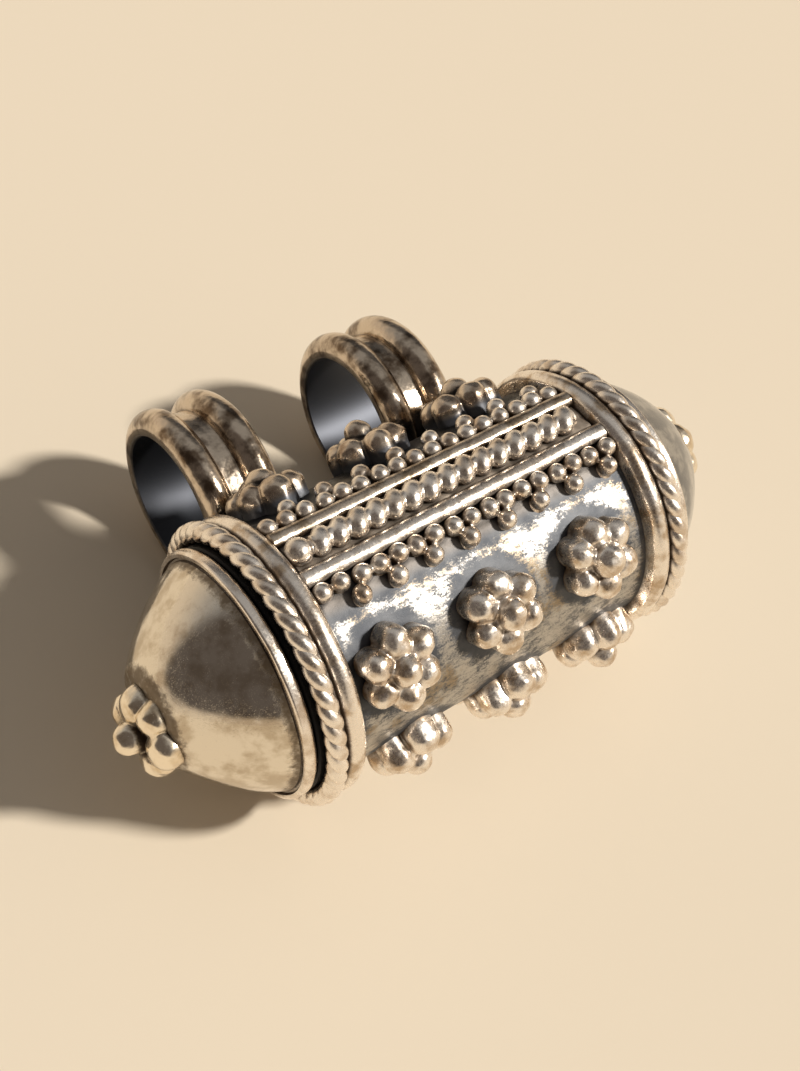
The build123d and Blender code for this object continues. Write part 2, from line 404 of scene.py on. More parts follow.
def oxidisedTube(name):
    look = tubeLook
    f = Finish(name)
    cloud = f.span(f.grain(look["cloudPerMm"], 4.0), *look["cloud"])
    fleck = f.span(f.grain(look["fleckPerMm"], 8.0, 0.74, look["fleckStretch"]), *look["fleck"])
    speck = f.grain(look["speckPerMm"], 4.0, 0.65)
    rubbed = f.times(f.painted("openness"), look["openShare"])
    rubbed = f.plus(rubbed, f.times(cloud, look["cloudShare"]))
    rubbed = f.plus(rubbed, f.times(fleck, look["fleckShare"]))
    wear = f.span(f.plus(rubbed, f.swing(speck, look["wearSpeck"])), *look["wear"])
    # painted shade: near black in crevices beside the ornaments (less on the solder), under the collars and
    # beside the bails
    exposed = f.plus(f.crevice(look["sootReach"]), f.swing(speck, look["sootSpeck"]))
    solder = f.painted("solder")
    bare = f.minus(1.0, f.times(solder, look["solderClean"]), True)
    deep = f.times(f.span(exposed, *look["sootEdge"]), bare)
    soot = f.math("MAXIMUM", f.painted("soot"), deep)
    brown = f.plus(f.grain(look["brownPerMm"], 3.0), f.swing(speck, look["brownSpeck"]))
    rubbedColour = f.blend(f.span(brown, *look["brown"]), look["burnished"], look["stain"])
    colour = f.blend(cloud, look["oxide"], look["bloom"])
    colour = f.blend(wear, colour, rubbedColour)
    colour = f.blend(solder, colour, look["solder"])
    colour = f.blend(soot, colour, look["soot"])
    polish = f.plus(wear, f.swing(speck, look["roughSpeck"]))
    rough = f.span(polish, 0.0, 1.0, look["roughOxide"], look["roughBurnished"])
    metal = f.minus(1.0, f.times(soot, look["sootDull"]))
    swell = f.bump(f.grain(look["swellPerMm"], 1.0), look["scuffShare"], look["swellDepth"])
    scuffed = f.bump(fleck, look["scuffShare"], look["scuffDepth"], swell)
    grain = f.grain(look["grainPerMm"], 3.0, 0.6, look["grainStretch"])
    normal = f.bump(grain, look["grainShare"], look["grainDepth"], scuffed)
    return f.done(colour, rough, metal, normal)


domeLook = {
    "bright": (0.80, 0.735, 0.63),
    "smoke": (0.55, 0.47, 0.365),
    # patina and painted shade: the colour that crevices and the dome's foot are darkened towards
    "patina": (0.135, 0.090, 0.048),
    "blotchPerMm": 0.55,
    "smokeFrom": 0.42,
    "smokeTo": 0.65,
    "speckPerMm": 6.0,
    "grimeReach": 1.1 * mm,
    "grimeSpeck": 0.8,
    "grimeEdge": (0.72, 0.40),
    "stainPerMm": 1.8,
    "stainSwing": 1.6,
    "stainSpeck": 0.5,
    "footEdge": (0.40, 1.05),
    "footShare": 0.9,
    "fleck": (0.66, 0.71),
    "fleckShare": 0.55,
    "patinaShare": 0.92,
    "grimeRough": 0.4,
    "grimeDull": 0.5,
    "polishPerMm": 1.4,
    "polish": (0.3, 0.75),
    "roughLow": 0.07,
    "roughHigh": 0.17,
    "scratchPerMm": 0.55,
    "scratchStretch": (1.0, 26.0, 26.0),
    "scratchTurns": ((0.2, 0.5, 0.9), (1.1, 0.1, 2.2), (0.6, 1.4, 0.3)),
    "scratch": (0.65, 0.71),
    "scratchRough": 0.12,
    "dentPerMm": 0.5,
    "dentDepth": 0.07 * mm,
    "dentShare": 0.25,
    "speckHeight": 0.4,
    "speckDepth": 0.012 * mm,
    "speckShare": 0.16,
}


def polishedDome(name, **changes):
    look = {**domeLook, **changes}
    f = Finish(name)
    speck = f.grain(look["speckPerMm"], 5.0, 0.7)
    smoke = f.span(f.grain(look["blotchPerMm"], 4.0, 0.6), look["smokeFrom"], look["smokeTo"])
    # patina and painted shade in crevices, by ambient occlusion, with patina at the foot and in flecks
    exposed = f.plus(f.crevice(look["grimeReach"]), f.swing(speck, look["grimeSpeck"]))
    stain = f.swing(f.grain(look["stainPerMm"], 5.0, 0.65), look["stainSwing"])
    stain = f.plus(stain, f.swing(speck, look["stainSpeck"]))
    foot = f.span(f.plus(f.painted("foot"), stain), *look["footEdge"])
    foot = f.times(foot, look["footShare"])
    fleck = f.times(f.span(speck, *look["fleck"]), look["fleckShare"])
    grime = f.math("MAXIMUM", f.span(exposed, *look["grimeEdge"]), f.math("MAXIMUM", foot, fleck))
    colour = f.blend(smoke, look["bright"], look["smoke"])
    colour = f.blend(f.times(grime, look["patinaShare"]), colour, look["patina"])
    scratch = 0.0
    for turn in look["scratchTurns"]:
        streak = f.grain(look["scratchPerMm"], 2.0, 0.5, look["scratchStretch"], turn)
        scratch = f.math("MAXIMUM", f.span(streak, *look["scratch"]), scratch)
    rough = f.span(f.grain(look["polishPerMm"], 4.0), *look["polish"], look["roughLow"], look["roughHigh"])
    rough = f.plus(rough, f.times(scratch, look["scratchRough"]))
    rough = f.plus(rough, f.times(grime, look["grimeRough"]), True)
    metal = f.minus(1.0, f.times(grime, look["grimeDull"]))
    dents = f.bump(f.grain(look["dentPerMm"], 2.0), look["dentShare"], look["dentDepth"])
    relief = f.minus(f.times(speck, look["speckHeight"]), scratch)
    normal = f.bump(relief, look["speckShare"], look["speckDepth"], dents)
    return f.done(colour, rough, metal, normal)


paperLook = {
    "sheet": (0.66, 0.53, 0.34),
    "foxed": (0.42, 0.29, 0.15),
    "foxPerMm": 0.6,
    "fox": (0.50, 0.74),
    "fibrePerMm": 9.0,
    "fibreStretch": (1.0, 4.0, 4.0),
    "fibre": (0.3, 0.7),
    "roughLow": 0.75,
    "roughHigh": 0.92,
    "fibreDepth": 0.02 * mm,
    "fibreShare": 0.4,
}


def agedPaper(name):
    look = paperLook
    f = Finish(name)
    fibre = f.grain(look["fibrePerMm"], 3.0, 0.6, look["fibreStretch"])
    spots = f.span(f.grain(look["foxPerMm"], 5.0, 0.6), *look["fox"])
    colour = f.blend(spots, look["sheet"], look["foxed"])
    rough = f.span(fibre, *look["fibre"], look["roughLow"], look["roughHigh"])
    return f.done(colour, rough, 0.0, f.bump(fibre, look["fibreShare"], look["fibreDepth"]))


tubeFinish = oxidisedTube("oxidisedTubeSilver")
domeFinishes = {
    "pull": polishedDome("polishedDomeSilver"),
    "fixed": polishedDome("smokedDomeSilver", bright=(0.47, 0.465, 0.46), smoke=(0.22, 0.225, 0.24),
                          smokeFrom=0.36, smokeTo=0.60),
}
rimFinish = wornSilver("wornRimSilver", roughLow=0.18, roughHigh=0.34, hammerDepth=0.03 * mm)
collarFinish = wornSilver("wornCollarSilver", worn=(0.54, 0.42, 0.30), roughLow=0.2, roughHigh=0.36,
                          hammerDepth=0.04 * mm)
ropeFinish = wornSilver("twistedRopeSilver", grimeReach=0.5 * mm, grimeFrom=0.74, grimeTo=0.30,
                        patina=(0.10, 0.066, 0.042), hammerDepth=0.03 * mm)
bailFinish = wornSilver("bailSilver", bright=(0.66, 0.56, 0.45), worn=(0.15, 0.105, 0.07), blotchPerMm=0.7,
                        roughLow=0.15, roughHigh=0.27, hammerPerMm=1.1, hammerDepth=0.14 * mm)
panelFinish = wornSilver("panelWireSilver", grimeReach=0.5 * mm, grimeFrom=0.68, grimeTo=0.26,
                         patina=(0.12, 0.082, 0.055), hammerPerMm=1.8)
# painted shade: a darker copy of the panel wire finish, for the upper border wires
upperWireFinish = wornSilver("shadedWireSilver", bright=(0.70, 0.60, 0.49), worn=(0.34, 0.26, 0.18),
                             grimeReach=0.5 * mm, grimeFrom=0.74, grimeTo=0.30, hammerPerMm=1.8)
granuleFinish = wornSilver("granuleSilver", worn=(0.58, 0.46, 0.35), grimeReach=0.55 * mm, grimeFrom=0.78,
                           grimeTo=0.34, patina=(0.10, 0.066, 0.040), hammerDepth=0.03 * mm)
rosetteFinish = wornSilver("rosetteSilver", worn=(0.56, 0.44, 0.32), patina=(0.15, 0.098, 0.058),
                           grimeReach=0.7 * mm, grimeFrom=0.82, grimeTo=0.38, hammerPerMm=1.4,
                           hammerDepth=0.12 * mm)
# painted shade: a darker copy of the rosette finish, near black in its crevices, for the bail-side and
# underside rows
sootyRosetteFinish = wornSilver("sootyRosetteSilver", bright=(0.72, 0.61, 0.49), worn=(0.30, 0.22, 0.16),
                                patina=(0.026, 0.022, 0.020), grimeReach=1.2 * mm, grimeFrom=0.92,
                                grimeTo=0.58, roughLow=0.18, roughHigh=0.32, hammerPerMm=1.4,
                                hammerDepth=0.12 * mm)
finialFinish = wornSilver("finialSilver", bright=(0.95, 0.85, 0.69), worn=(0.72, 0.59, 0.42),
                          patina=(0.07, 0.045, 0.026), grimeReach=0.9 * mm, grimeFrom=0.90, grimeTo=0.46,
                          roughLow=0.13, roughHigh=0.28)
sleeveFinish = wornSilver("drawnSleeveSilver", roughLow=0.24, roughHigh=0.40, hammerDepth=0.01 * mm)
paperFinish = agedPaper("agedSlipPaper")
print("finishes made")


def span(node):  # a turned node's middle and width along the tube, and its outer radius
    low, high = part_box(node)
    middle = (low.x + high.x) / 2 - axisCentre.x
    return middle, high.x - low.x, max(high.y - low.y, high.z - low.z) / 2


tubePlace = around(0, 90)

# rows of ornament round the tube, in degrees from the bails
rows = {"bail_side": 43.35, "front": 152.5, "lower_front": -147.06, "underside": -43.35}
panels = {"front": (95.2, -1), "back": (-95.2, 1)}  # angle, and the way towards its upper edge
ornament = {"rosettes": 3, "rosetteHalf": 2.7 * mm, "panelHalf": 3.9 * mm, "collarInner": 11.05 * mm}
rosettePlaces = []
for row, angle in rows.items():
    for k in range(ornament["rosettes"]):
        low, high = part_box(f"rosette_{row}_{k + 1}")
        rosettePlaces.append((row, k + 1, (low.x + high.x) / 2 - axisCentre.x, angle))

tubeSizes = {
    "wall": 0.6 * mm,
    "edge": 0.12 * mm,
    "rows": 180,
    "steps": 340,
    "openFrom": -0.3 * mm,
    "openTo": 1.0 * mm,
    "bailSootDeg": (56, 68),
    "collarSoot": (0.2 * mm, 0.7 * mm),
    "endFade": 0.3 * mm,
    "bedHalf": 1.2 * mm,
    "bedFade": 0.4 * mm,
    "bedHeight": 0.4 * mm,
    "footFrom": 1.9 * mm,
    "footRise": 0.3 * mm,
    "footTo": 4.15 * mm,
    "footFall": 0.9 * mm,
    "footHeight": 0.14 * mm,
    "solderGrain": 0.5 * mm,
    "solderFill": 0.75,
    "solderLump": 0.35,
}


def ramp(value, low, high):
    share = min(1.0, max(0.0, (value - low) / (high - low)))
    return share * share * (3 - 2 * share)


def surfaceTurn(p, angleDeg):  # the distance round the tube from a line along it
    turn = math.degrees(math.atan2(p.z, p.y)) - angleDeg
    return math.radians((turn + 180) % 360 - 180) * tubeRadius


def panelTurn(p):
    return min(abs(surfaceTurn(p, angle)) for angle, _ in panels.values())


def openness(p):  # 1 on the bare skin, 0 beside ornament, where no hand rubs
    near = min(ornament["collarInner"] - abs(p.x), panelTurn(p) - ornament["panelHalf"])
    for *_, x, angle in rosettePlaces:
        near = min(near, math.hypot(p.x - x, surfaceTurn(p, angle)) - ornament["rosetteHalf"])
    return ramp(near, tubeSizes["openFrom"], tubeSizes["openTo"])


def soot(p):  # painted shade: 1 beyond the collars and beside the bails
    start, full = (ornament["collarInner"] + away for away in tubeSizes["collarSoot"])
    bailSide = abs(math.degrees(surfaceTurn(p, 0) / tubeRadius))
    return max(ramp(abs(p.x), start, full), 1 - ramp(bailSide, *tubeSizes["bailSootDeg"]))


def solder(p):  # 1 on the bed of the beaded wire, less at the feet of the granules
    s = tubeSizes
    turn = panelTurn(p)
    inLength = 1 - ramp(abs(p.x), ornament["collarInner"] - s["endFade"], ornament["collarInner"])
    bed = 1 - ramp(turn, s["bedHalf"], s["bedHalf"] + s["bedFade"])
    rising = ramp(turn, s["footFrom"] - s["footRise"], s["footFrom"])
    falling = 1 - ramp(turn, s["footTo"] - s["footFall"], s["footTo"])
    return inLength * max(bed, rising * falling * s["footHeight"] / s["bedHeight"])


def solderSwell(v):  # lifts the skin where solder lies; the bore and the edges stay
    s = tubeSizes
    if math.hypot(v.y, v.z) < tubeRadius - s["edge"] / 2:
        return Vector((0, 0, 0))
    lump = s["solderFill"] + s["solderLump"] * noise.noise(v / s["solderGrain"])
    return Vector((0, v.y, v.z)).normalized() * (solder(v) * s["bedHeight"] * lump)


def caseTube():
    s = tubeSizes
    reach = tubeEnd - s["edge"]
    skin = [(-reach + 2 * reach * k / s["rows"], tubeRadius) for k in range(s["rows"] + 1)]
    bore = tubeRadius - s["wall"]
    outline = [(-tubeEnd, bore), (-tubeEnd, tubeRadius - s["edge"]), *skin,
               (tubeEnd, tubeRadius - s["edge"]), (tubeEnd, bore)]
    piece = latheX("caseTube", outline, s["steps"], tubePlace, True, wobble=solderSwell)
    for tone in (openness, soot, solder):
        paint(piece, tone.__name__, tubePlace, tone)
    finishPiece(piece, "case", ["case_tube"], tubeFinish)


caseTube()
print("tube made")


def keepOutOfBore(piece):  # feet end halfway through the tube's wall
    least = tubeRadius - tubeSizes["wall"] / 2
    for vertex in piece.data.vertices:
        out = vertex.co - axisCentre
        out.x = 0
        if out.length < least:
            vertex.co += out.normalized() * (least - out.length)
    piece.data.update()


wireSizes = {"steps": 256, "section": 24, "spread": 0.08 * mm, "flare": 0.1 * mm, "sunk": 0.1 * mm,
             "fillet": 0.45 * mm, "filletDrop": 0.5 * mm, "dents": (0.03 * mm, 2.5 * mm)}


def collarWire(side):
    s = wireSizes
    middle, width, outer = span(f"{side}_collar_wire")
    broad, foot = width / 2 + s["spread"], tubeRadius - s["sunk"]
    fillet, level = broad + s["fillet"], outer - s["filletDrop"]
    arch = [(broad * x, outer - width / 2 + width / 2 * r)
            for x, r in arcPoints((0, 0), 1.0, 0, 180, s["section"])]
    # solder fills the side towards the rope up to its level, so the arch starts there
    crown = [spot for spot in arch if spot[0] < 0 or spot[1] > level]
    half = [(fillet, foot), (fillet, level), *crown, (-broad - s["flare"], foot)]
    out = 1 if middle > 0 else -1
    section = [(middle + out * x, r) for x, r in half][::out]
    piece = latheX(f"{side}CollarWire", section, s["steps"], tubePlace, True, wobble=handWork(*s["dents"]))
    finishPiece(piece, "case", [f"{side}_collar_wire"], collarFinish)


ropeSizes = {"turns": 24, "strand": 0.49 * mm, "ringsPerTurn": 36, "section": 20}


def ropeTree():
    t = NodeTree("twistedRope", ["Ring Radius", "Helix Radius", "Strand Radius", "Middle"],
                 ["Turns", "Rings", "Section"])
    strands = []
    for phase in (0.0, math.pi):
        ring = t.node("GeometryNodeCurvePrimitiveCircle", {"Resolution": t.given("Rings"), "Radius": 1.0})
        share = t.node("GeometryNodeSplineParameter").outputs["Factor"]
        turn = t.times(share, 2 * math.pi)
        lay = t.plus(t.times(turn, t.given("Turns")), phase)
        outward = t.times(t.given("Helix Radius"), t.math("COSINE", lay))
        sideways = t.times(t.given("Helix Radius"), t.math("SINE", lay))
        radius = t.plus(t.given("Ring Radius"), outward)
        along = t.plus(t.given("Middle"), sideways)
        spot = t.vector(along, t.times(radius, t.math("COSINE", turn)),
                        t.times(radius, t.math("SINE", turn)))
        placed = t.node("GeometryNodeSetPosition", {"Geometry": ring.outputs[0], "Position": spot})
        section = t.node("GeometryNodeCurvePrimitiveCircle",
                         {"Resolution": t.given("Section"), "Radius": t.given("Strand Radius")})
        tube = t.node("GeometryNodeCurveToMesh",
                      {"Curve": placed.outputs[0], "Profile Curve": section.outputs[0]})
        strands.append(tube.outputs[0])
    t.close(t.join(strands))
    return t


twistedRope = ropeTree()


def collarRope(side):
    middle, width, outer = span(f"{side}_collar_rope")
    strand = ropeSizes["strand"]
    values = {"Ring Radius": outer - width / 2, "Helix Radius": width / 2 - strand, "Strand Radius": strand,
              "Turns": ropeSizes["turns"], "Rings": ropeSizes["turns"] * ropeSizes["ringsPerTurn"],
              "Section": ropeSizes["section"], "Middle": middle, "Material": ropeFinish}
    piece = grow(f"{side}CollarRope", twistedRope, values, tubePlace)
    finishPiece(piece, "case", [f"{side}_collar_rope"], ropeFinish)


for side in ("left", "right"):
    collarWire(side)
    collarRope(side)
print("collars made")

bailSizes = {"ridgeWidth": 2.1 * mm, "band": 0.55 * mm, "edge": 0.1 * mm, "steps": 160, "arc": 18,
             "dents": (0.04 * mm, 3.0 * mm)}


def bail(side):
    s = bailSizes
    low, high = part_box(f"{side}_bail")
    middle = (low.x + high.x) / 2 - axisCentre.x
    half = (high.x - low.x) / 2
    crest = (high.z - low.z) / 2
    band = bailBore + s["band"]
    ridgeHalf = s["ridgeWidth"] / 2
    rise = crest - band
    ridgeRound = (rise ** 2 + ridgeHalf ** 2) / (2 * rise)
    lean = math.degrees(math.asin((ridgeRound - rise) / ridgeRound))
    ridges = []
    for x in (-half + ridgeHalf, half - ridgeHalf):
        ridges += arcPoints((x, crest - ridgeRound), ridgeRound, 180 - lean, lean, s["arc"])
    edge = s["edge"]
    bore = [(half, bailBore + edge), (half - edge, bailBore),
            (-half + edge, bailBore), (-half, bailBore + edge)]
    place = around(middle, 0) @ Matrix.Translation((0, 0, bailReach)) @ Matrix.Rotation(math.pi / 2, 4, "X")
    piece = latheX(f"{side}Bail", [*bore, *ridges], s["steps"], place, True, wobble=handWork(*s["dents"]))
    reach = (bailBore + edge / 2, bailBore + 2 * edge)
    # painted shade: the bore goes dark blue-grey
    paint(piece, "inside", place, lambda p: 1 - ramp(math.hypot(p.y, p.z), *reach))
    finishPiece(piece, "case", [f"{side}_bail"], bailFinish)


for side in ("left", "right"):
    bail(side)
print("bails made")

capSizes = {
    "sagitta": 0.46 * mm,
    "domeHeight": 5.2 * mm,
    "crown": 3.0 * mm,
    "crownRise": 0.6 * mm,
    "wall": 0.6 * mm,
    "rimRound": 0.3 * mm,
    "lipWidth": 0.34 * mm,
    "lipRound": 0.16 * mm,
    "grooveDepth": 0.16 * mm,
    "ledge": 0.6 * mm,
    "footReach": 1.1 * mm,
    "crownReach": 0.95 * mm,
    "arc": 36,
    "steps": 192,
    "sleeveWall": 0.5 * mm,
    "sleeveEdge": 0.1 * mm,
    "rimArc": 8,
    "lipArc": 6,
    "rimDents": (0.03 * mm, 2.0 * mm),
    "domeDents": (0.035 * mm, 3.0 * mm),
}


def sagittaPoints(start, end, sagitta, count):
    chord = math.dist(start, end)
    radius = chord ** 2 / (8 * sagitta) + sagitta / 2
    way = ((end[0] - start[0]) / chord, (end[1] - start[1]) / chord)
    out = (-way[1], way[0])
    middle = ((start[0] + end[0]) / 2, (start[1] + end[1]) / 2)
    centre = [m - o * (radius - sagitta) for m, o in zip(middle, out)]
    half = math.degrees(math.asin(chord / 2 / radius))
    facing = math.degrees(math.atan2(out[1], out[0]))
    return arcPoints(centre, radius, facing + half, facing - half, count)


def capPlace(side):  # X points out of the tube at either end
    return tubePlace @ (Matrix.Rotation(math.pi, 4, "Z") if side < 0 else Matrix.Identity(4))


def capSpan(node, side):  # a cap piece's start and end along its own X, and its outer radius
    middle, width, radius = span(node)
    return side * middle - width / 2, side * middle + width / 2, radius


def capBore(cap):
    return span(f"{cap}_cap_sleeve")[2] - capSizes["sleeveWall"]


def capRim(cap, side, body):
    s = capSizes
    start, end, radius = capSpan(f"{cap}_cap_rim", side)
    bore, groove, slope = capBore(cap), end - s["grooveDepth"], s["lipRound"] / 2
    corner = arcPoints((start + s["rimRound"], radius - s["rimRound"]), s["rimRound"], 180, 90, s["rimArc"])
    lip = arcPoints((end - s["lipRound"], radius - s["lipRound"]), s["lipRound"], 90, 0, s["lipArc"])
    rim = [(start, bore), *corner, *lip, (end, radius - s["lipWidth"]),
           (groove, radius - s["lipWidth"] - slope), (groove, radius - s["ledge"]),
           (end, radius - s["ledge"] - slope), (end, bore)]
    dents = handWork(*s["rimDents"])
    piece = latheX(f"{cap}CapRim", rim, s["steps"], capPlace(side), True, wobble=dents)
    finishPiece(piece, body, [f"{cap}_cap_rim"], rimFinish)


def capSleeve(cap, side, body):
    start, end, radius = capSpan(f"{cap}_cap_sleeve", side)
    bore, edge = capBore(cap), capSizes["sleeveEdge"]
    sleeve = [(start, bore + edge), (start, radius - edge), (start + edge, radius),
              (end, radius), (end, bore), (start + edge, bore)]
    piece = latheX(f"{cap}CapSleeve", sleeve, capSizes["steps"], capPlace(side), True)
    finishPiece(piece, body, [f"{cap}_cap_sleeve"], sleeveFinish)


def capDome(cap, side, body):
    s = capSizes
    base, _, radius = capSpan(f"{cap}_cap_dome", side)
    crownAt, top, wall = base + s["domeHeight"], base + s["domeHeight"] + s["crownRise"], s["wall"]
    outer = sagittaPoints((base, radius), (crownAt, s["crown"]), s["sagitta"], s["arc"])
    inner = sagittaPoints((base, radius - wall), (crownAt, s["crown"] - wall), s["sagitta"], s["arc"])
    outline = [(top, 0.0), *reversed(outer), *inner, (top - wall, 0.0)]
    dents = handWork(*s["domeDents"])
    piece = latheX(f"{cap}CapDome", outline, s["steps"], capPlace(side), wobble=dents)

    def foot(p):  # 1 where the dome meets its rim and its finial
        edge = 1 - ramp(p.x, base, base + s["footReach"])
        return max(edge, 1 - ramp(math.hypot(p.y, p.z), s["crown"], s["crown"] + s["crownReach"]))

    paint(piece, "foot", capPlace(side), foot)
    finishPiece(piece, body, [f"{cap}_cap_dome"], domeFinishes[cap])


ballMesh = {"Segments": 32, "Rings": 18}
seeds = {"rosettes": 10, "finials": 31, "centreLobe": 13.0, "lobeSize": 7.0,
         "granules": 11, "granuleSize": 3.0, "beads": 3, "beadSize": 5.0}


def lobeTree():
    t = NodeTree("lobeCluster", ["Lobe Radius", "Ring Radius", "Ring Height", "Lean", "Centre Radius",
                                 "Centre Height", "Foot", "Taper", "Web Height", "Unevenness"],
                 ["Lobes", "Seed"])

    def pillar(radius, height):  # a ball whose lower half is drawn down to a narrower foot
        ball = t.node("GeometryNodeMeshUVSphere", {**ballMesh, "Radius": radius})
        spot = t.node("ShaderNodeSeparateXYZ", {"Vector": t.node("GeometryNodeInputPosition").outputs[0]})
        below = t.node("FunctionNodeCompare", data_type="FLOAT", operation="LESS_THAN")
        t.set(below.inputs[0], spot.outputs["Z"])
        t.set(below.inputs[1], -hair)
        depth = t.minus(t.minus(radius, height), t.given("Foot"))
        narrow = [t.times(spot.outputs[axis], t.given("Taper")) for axis in "XY"]
        drawn = t.node("GeometryNodeSetPosition", {"Geometry": ball.outputs[0], "Selection": below.outputs[0],
                                                   "Position": t.vector(*narrow, depth)})
        return drawn.outputs[0]

    def planted(points, radius, height, lean, seedStep):
        seed = t.plus(t.given("Seed"), seedStep)
        slip = t.times(t.given("Unevenness"), radius)
        back = t.times(slip, -1.0)
        drift = t.node("FunctionNodeRandomValue", {"Seed": seed}, data_type="FLOAT_VECTOR")
        t.set(drift.inputs[0], t.vector(back, back, back))
        t.set(drift.inputs[1], t.vector(slip, slip, slip))
        lift = t.vector(0.0, 0.0, t.minus(height, radius))
        offset = t.node("ShaderNodeVectorMath", {0: drift.outputs[0], 1: lift}, operation="ADD")
        moved = t.node("GeometryNodeSetPosition", {"Geometry": points, "Offset": offset.outputs[0]})
        spot = t.node("ShaderNodeSeparateXYZ", {"Vector": t.node("GeometryNodeInputPosition").outputs[0]})
        facing = t.math("ARCTAN2", spot.outputs["Y"], spot.outputs["X"])
        sizeSeed = t.plus(seed, seeds["lobeSize"])
        size = t.node("FunctionNodeRandomValue", {"Seed": sizeSeed}, data_type="FLOAT_VECTOR")
        least = t.minus(1.0, t.given("Unevenness"))
        most = t.plus(1.0, t.times(t.given("Unevenness"), 0.6))
        t.set(size.inputs[0], t.vector(least, least, least))
        t.set(size.inputs[1], t.vector(most, most, 1.0))
        made = t.node("GeometryNodeInstanceOnPoints",
                      {"Points": moved.outputs[0], "Instance": pillar(radius, height),
                       "Rotation": t.vector(0.0, lean, facing), "Scale": size.outputs[0]})
        return made.outputs[0]

    ring = t.node("GeometryNodeMeshCircle",
                  {"Vertices": t.given("Lobes"), "Radius": t.given("Ring Radius")}, fill_type="NONE")
    centre = t.node("GeometryNodeMeshLine", {"Count": 1})
    webDepth = t.plus(t.given("Web Height"), t.given("Foot"))
    web = t.node("GeometryNodeMeshCylinder",
                 {"Vertices": 48, "Radius": t.given("Ring Radius"), "Depth": webDepth})
    webMiddle = t.minus(t.given("Web Height"), t.times(webDepth, 0.5))
    webPlaced = t.node("GeometryNodeTransform",
                       {"Geometry": web.outputs[0], "Translation": t.vector(0.0, 0.0, webMiddle)})
    t.close(t.join([
        planted(ring.outputs[0], t.given("Lobe Radius"), t.given("Ring Height"), t.given("Lean"), 0.0),
        planted(centre.outputs[0], t.given("Centre Radius"), t.given("Centre Height"), 0.0,
                seeds["centreLobe"]),
        webPlaced.outputs[0]]))
    return t


lobeCluster = lobeTree()

clusterSizes = {"lobes": 6, "voxel": 0.07 * mm, "smoothing": 5, "swell": 0.06 * mm, "unevenness": 0.15,
                "dents": (0.085 * mm, 0.8 * mm), "footSoot": (0.15 * mm, 0.95 * mm)}
rosetteSizes = {"lobe": 0.99 * mm, "ring": 1.66 * mm, "ringHeight": 1.8 * mm, "lean": math.radians(4),
                "centreLobe": 0.92 * mm, "centreHeight": 2.6 * mm, "foot": 0.6 * mm, "taper": 1.0,
                "web": 1.35 * mm}
finialSizes = {"lobe": 1.22 * mm, "ring": 1.72 * mm, "ringHeight": 1.55 * mm, "lean": math.radians(38),
               "centreLobe": 1.0 * mm, "centreHeight": 2.5 * mm, "foot": 0.3 * mm, "taper": 0.85,
               "web": 0.8 * mm}


def cluster(name, sizes, place, seed, material):
    swell = clusterSizes["swell"]
    values = {"Lobe Radius": sizes["lobe"] + swell, "Lobes": clusterSizes["lobes"],
              "Ring Radius": sizes["ring"], "Ring Height": sizes["ringHeight"] + swell, "Lean": sizes["lean"],
              "Centre Radius": sizes["centreLobe"] + swell, "Centre Height": sizes["centreHeight"] + swell,
              "Foot": sizes["foot"], "Taper": sizes["taper"], "Web Height": sizes["web"],
              "Unevenness": clusterSizes["unevenness"], "Seed": seed, "Material": material}
    piece = grow(name, lobeCluster, values, place, fused(clusterSizes["voxel"], clusterSizes["smoothing"]))
    push = handWork(*clusterSizes["dents"])
    for vertex in piece.data.vertices:
        vertex.co += push(vertex.co)
    piece.data.update()
    return piece


def footSoot(p):  # painted shade: 1 at the foot of a lobe, 0 higher up
    return 1 - ramp(p.z, *clusterSizes["footSoot"])


quarterTurn = Matrix.Rotation(math.radians(90), 4, "Z")
for row, k, x, angle in rosettePlaces:
    first, *rest = row.split("_")
    name = first + "".join(word.title() for word in rest)
    place = around(x, angle) @ Matrix.Translation((0, 0, tubeRadius)) @ quarterTurn
    # the bail-side and underside rows get painted shade
    sooty = "front" not in row
    material = sootyRosetteFinish if sooty else rosetteFinish
    piece = cluster(f"{name}Rosette{k}", rosetteSizes, place, seeds["rosettes"] * k + len(row), material)
    keepOutOfBore(piece)
    if sooty:
        paint(piece, "inside", place, footSoot)
    finishPiece(piece, "case", [f"rosette_{row}_{k}"], material)
print("rosettes made")

def capFinial(cap, side, body):
    crownAt = capSpan(f"{cap}_cap_dome", side)[0] + capSizes["domeHeight"]
    low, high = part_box(f"{cap}_cap_finial")
    aside = (low + high) / 2 - axisCentre
    upright = Matrix.Rotation(math.radians(90), 4, "Y") @ quarterTurn
    outward = capPlace(side) @ Matrix.Translation((crownAt, 0, 0)) @ upright
    place = Matrix.Translation((0, aside.y, aside.z)) @ outward
    piece = cluster(f"{cap}CapFinial", finialSizes, place, seeds["finials"] + side, finialFinish)
    finishPiece(piece, body, [f"{cap}_cap_finial"], finialFinish)


for cap, side, body in (("pull", -1, "pull_cap"), ("fixed", 1, "case")):
    for makePiece in (capRim, capSleeve, capDome, capFinial):
        makePiece(cap, side, body)
print("caps made")

